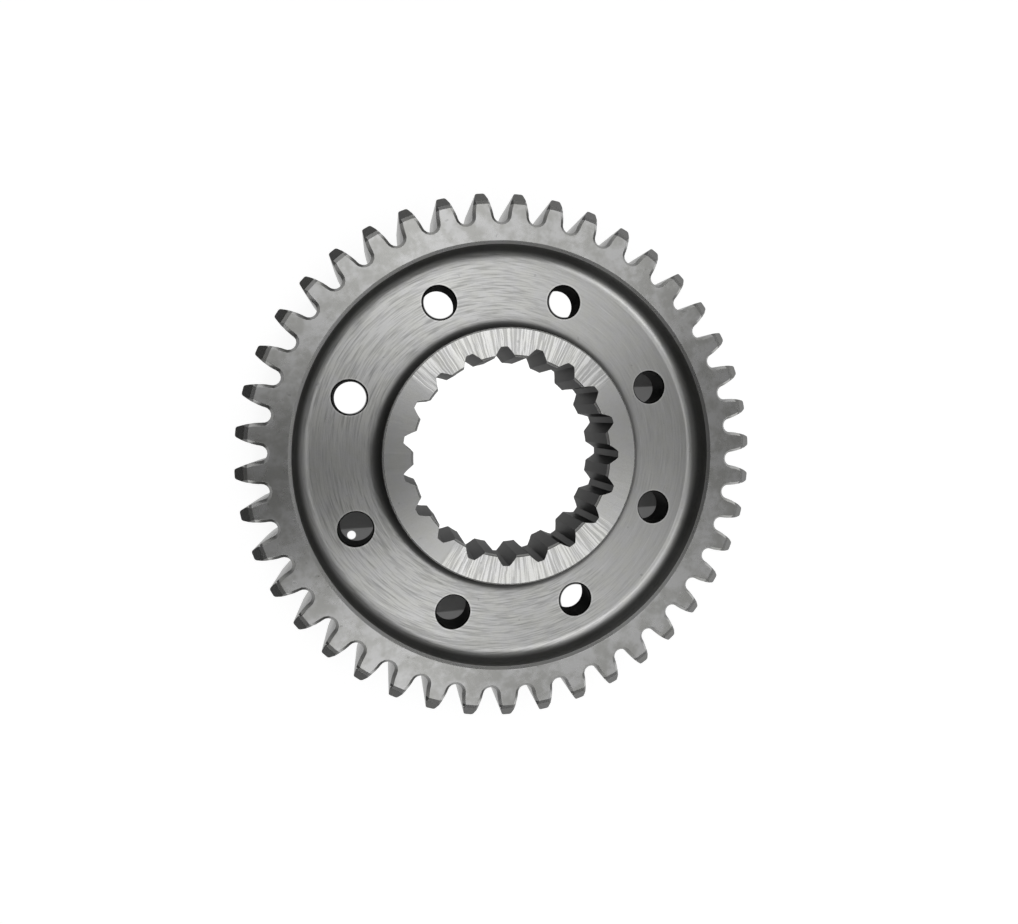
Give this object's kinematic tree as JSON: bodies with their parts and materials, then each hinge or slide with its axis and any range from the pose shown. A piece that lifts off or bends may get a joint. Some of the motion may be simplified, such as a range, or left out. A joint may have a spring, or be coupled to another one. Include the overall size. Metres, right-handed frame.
{
  "type": "spur gear",
  "caption": "Straight-toothed gear with a splined hub, a thin recessed web between hub and rim, and a circle of round holes through the web.",
  "frame": {"origin": "on the axis, in the plane of the back face of the rim, which the gear lies on", "axes": "+Z along the axis, from the back face to the front face; one hole of the web lies 22.5 degrees from +X towards +Y"},
  "size_m": [0.1868, 0.1866, 0.0329],
  "materials": {
    "steel": "turned and ground steel, bare"
  },
  "bodies": {
    "root": {"gear": "steel"}
  },
  "joints": []
}
